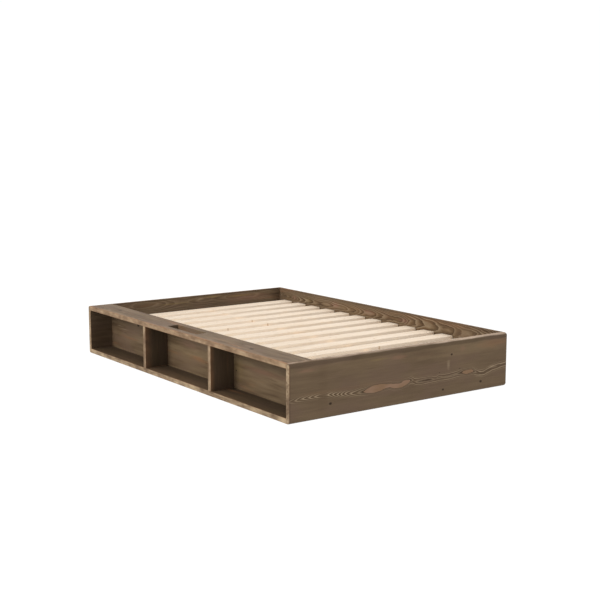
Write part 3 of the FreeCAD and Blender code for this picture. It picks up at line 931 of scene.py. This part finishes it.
def zinc():
    """Zinc plate: crystals a few millimetres wide differ in tone and in gloss."""
    material, at = new_finish("zinc_steel")
    place = vector(at["x"], at["y"], at["z"])
    sown = {"Vector": place, "Scale": CRYSTALS_PER_METRE}
    crystal = place.node("TexVoronoi", inputs=sown, out="Color")
    tone = crystal.node("SeparateColor", inputs={"Color": crystal})
    smear = noise(place, SMEARS_PER_METRE)
    colour = mix(tone, ZINC, ZINC_BRIGHT)
    roughness = 0.30 + 0.12 * tone.also("Green") + 0.15 * smear
    return wire_finish(material, colour, roughness, tone + smear, ZINC_BUMP, {"Metallic": 1.0})


dress(zinc(), *STEEL)

# %% Nylon
NYLON = card(96, 97, 99)
NYLON_PALE = card(116, 117, 118)
PEEL_PER_METRE = 700.0


def nylon():
    """Moulded nylon: grey, with a fine orange-peel skin."""
    material, at = new_finish("nylon")
    place = vector(at["x"], at["y"], at["z"])
    peel = noise(place, PEEL_PER_METRE)
    cloud = noise(place, SMEARS_PER_METRE)
    colour = mix(0.5 + cloud, NYLON, NYLON_PALE)
    return wire_finish(material, colour, 0.45 + 0.2 * peel, peel, SKIN_BUMP)


dress(nylon(), "leg_glide")

# %% [markdown]
# ## The slat tapes
#
# Two woven tapes are stapled under the slats and keep them spaced. A tape is soft, so it lies flat on each
# slat and hangs a little in each gap. It could be draped by simulation, but its line is simple: a flat
# section with soft edges, carried along the bed, that drops in each gap by a sine squared.

# %% Tapes as strips carried along the slats
TAPE_SAG = 0.0018
TAPE_STEPS = 480
SECTION_STEPS = 20
SLAT_WIDTH = float(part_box("slat_01")[1][1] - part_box("slat_01")[0][1])


def strip_mesh(name, low, high):
    """A closed strip: its section is a superellipse, and its middle line drops between the slats.

    Across, x is half the width times the fourth root of the cosine, and z half the thickness times the
    square root of the sine, signs kept. Along a gap, the drop is the sag times the sine squared of pi
    times the share of the gap that is passed.
    """
    y = np.linspace(low[1], high[1], TAPE_STEPS)
    from_slat = (y + SLAT_PITCH / 2) % SLAT_PITCH - SLAT_PITCH / 2
    gap = SLAT_PITCH - SLAT_WIDTH
    share = np.clip((SLAT_PITCH / 2 - np.abs(from_slat)) / (gap / 2), 0.0, 1.0)
    drop = TAPE_SAG * np.sin(np.pi / 2 * share) ** 2
    turn = np.linspace(0.0, 2 * np.pi, SECTION_STEPS, endpoint=False)
    wide = np.sign(np.cos(turn)) * np.abs(np.cos(turn)) ** 0.25
    thick = np.sign(np.sin(turn)) * np.abs(np.sin(turn)) ** 0.5
    centre = (low + high) / 2
    half = (high - low) / 2
    points = np.empty((TAPE_STEPS, SECTION_STEPS, 3))
    points[..., 0] = centre[0] + half[0] * wide
    points[..., 1] = y[:, None]
    points[..., 2] = centre[2] + half[2] * thick - drop[:, None]
    step, spot = np.meshgrid(np.arange(TAPE_STEPS - 1), np.arange(SECTION_STEPS), indexing="ij")
    beside = (spot + 1) % SECTION_STEPS
    corners = (step * SECTION_STEPS + spot, (step + 1) * SECTION_STEPS + spot,
               (step + 1) * SECTION_STEPS + beside, step * SECTION_STEPS + beside)
    sides = np.stack(corners, axis=-1).reshape(-1, 4)
    last = (TAPE_STEPS - 1) * SECTION_STEPS
    ends = [list(range(SECTION_STEPS)), list(range(last + SECTION_STEPS - 1, last - 1, -1))]
    mesh = bpy.data.meshes.new(name)
    mesh.from_pydata(points.reshape(-1, 3).tolist(), [], sides.tolist() + ends)
    mesh.polygons.foreach_set("use_smooth", np.ones(len(mesh.polygons), dtype=bool))
    mesh.update()
    return mesh


# %% Woven tape
ECRU = card(206, 196, 176)
# Painted shade in the low places of the weave.
ECRU_WEAVE_SHADE = card(150, 136, 112)
YARN = 0.0012
FUZZ_PER_METRE = 900.0
WEAVE_BUMP = 0.0003


def woven_tape():
    """Plain weave on Object coordinates: warp and weft cross over and under, row by row."""
    material, at = new_finish("woven_tape")
    warp = (at["x"] * (math.pi / YARN)).maths("SINE")
    weft = (at["y"] * (math.pi / YARN)).maths("SINE")
    over = warp * weft
    fuzz = noise(vector(at["x"], at["y"], at["z"]), FUZZ_PER_METRE, 3.0)
    height = abs(over) + 0.4 * fuzz
    # Painted shade: darker where the weave is low.
    colour = mix(smooth(height, 0.55, 0.05), ECRU, ECRU_WEAVE_SHADE)
    return wire_finish(material, colour, 0.80 + 0.2 * fuzz, height, WEAVE_BUMP)


tape_finish = woven_tape()
for node in ("slat_tape_shelf", "slat_tape_side"):
    low, high = (np.array(corner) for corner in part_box(node))
    tape = bpy.data.objects.new("woven_" + node, strip_mesh("woven_" + node, low, high))
    tape.data.materials.append(tape_finish)
    bpy.context.collection.objects.link(tape)
    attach(tape, "slat_base")
    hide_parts(node)
    print(tape.name, len(tape.data.polygons), "faces, flat", np.round(high - low, 4)[:2])

# %% [markdown]
# ## Floor and light
#
# The picture is a plain studio one: a white sweep, a large soft light overhead, one from the bookcase side,
# which makes that side brighter than the foot board and puts the top board's shadow in the bays, and a weak
# one from the foot. A small lamp would throw hard shadows that the picture doesn't have, so all of them are
# metres wide. The sweep glows so that it stays white without a shadow round the bed. Under the slats that
# would be too bright, so there a painted shadow dims the glow between the boards, most of all close to
# them.

# %% Floor
FLOOR_HALF = 30.0
WHITE = card(255, 255, 255)
TABLE = card(60, 60, 60)
TABLE_PALE = card(64, 64, 64)
# Colours and reach of the painted shadow under the bed.
UNDER_BED_SHADOW = card(176, 174, 172)
CORNER_SHADE = card(138, 136, 134)
SHADE_EDGE = 0.012
SHADE_REACH = 0.30
TABLE_CLOUDS_PER_METRE = 0.5
TABLE_BUMP = 0.0001

sweep = bpy.data.meshes.new("floor")
corners = np.array([(-1, -1, 0), (1, -1, 0), (1, 1, 0), (-1, 1, 0)], dtype=float) * FLOOR_HALF
sweep.from_pydata(corners.tolist(), [], [(0, 1, 2, 3)])
floor = bpy.data.objects.new("floor", sweep)
bpy.context.collection.objects.link(floor)
floor_finish, at = new_finish("light_table")
cloud = noise(vector(at["x"], at["y"], at["z"]), TABLE_CLOUDS_PER_METRE)
grey = mix(0.5 + 0.2 * cloud, TABLE, TABLE_PALE)
wire_finish(floor_finish, grey, 0.8 + 0.1 * cloud, cloud, TABLE_BUMP,
            {"Specular IOR Level": 0.0, "Emission Strength": 1.0})
well_low = (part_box("shelf_back")[1][0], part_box("foot_board")[1][1])
well_high = (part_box("side_board")[0][0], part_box("head_board")[0][1])
from_x = (at["x"] - well_low[0]).maths("MINIMUM", well_high[0] - at["x"])
from_y = (at["y"] - well_low[1]).maths("MINIMUM", well_high[1] - at["y"])
nearest = from_x.maths("MINIMUM", from_y)
# Painted shadow under the bed: the glow is dimmed inside the boards, most of all next to them.
under = mix(smooth(nearest, 0.0, SHADE_REACH), CORNER_SHADE, UNDER_BED_SHADOW)
glow = mix(smooth(nearest, -SHADE_EDGE, SHADE_EDGE), WHITE, under)
floor_shader = floor_finish.node_tree.nodes["Principled BSDF"]
floor_finish.node_tree.links.new(glow.socket, floor_shader.inputs["Emission Color"])
sweep.materials.append(floor_finish)
print("floor", 2 * FLOOR_HALF, "m wide")

# %% Lights
SKY = 1.02
LIGHTS = (  # name, place, what it looks at, size, watts
    ("overhead", (0.0, 0.3, 3.8), (0.0, 0.3, 0.0), (6.0, 6.0), 70.0),
    ("bookcase_side", (-7.2, 1.3, 4.7), (-0.6, 0.0, 0.15), (2.2, 2.2), 350.0),
    ("foot_side", (1.5, -6.0, 3.0), (0.0, 0.0, 0.2), (2.5, 2.5), 70.0),
)

world = bpy.data.worlds.new("studio")
world.use_nodes = True
world.node_tree.nodes["Background"].inputs["Color"].default_value = (1.0, 1.0, 1.0, 1.0)
world.node_tree.nodes["Background"].inputs["Strength"].default_value = SKY
bpy.context.scene.world = world
bpy.context.scene.view_settings.view_transform = "Standard"

for name, place, target, size, watts in LIGHTS:
    lamp = bpy.data.lights.new(name, "AREA")
    lamp.shape = "RECTANGLE"
    lamp.size, lamp.size_y = size
    lamp.energy = watts
    light = bpy.data.objects.new(name, lamp)
    light.location = place
    light.rotation_euler = (Vector(target) - Vector(place)).to_track_quat("-Z", "Y").to_euler()
    bpy.context.collection.objects.link(light)
    print("light", name, watts, "W")
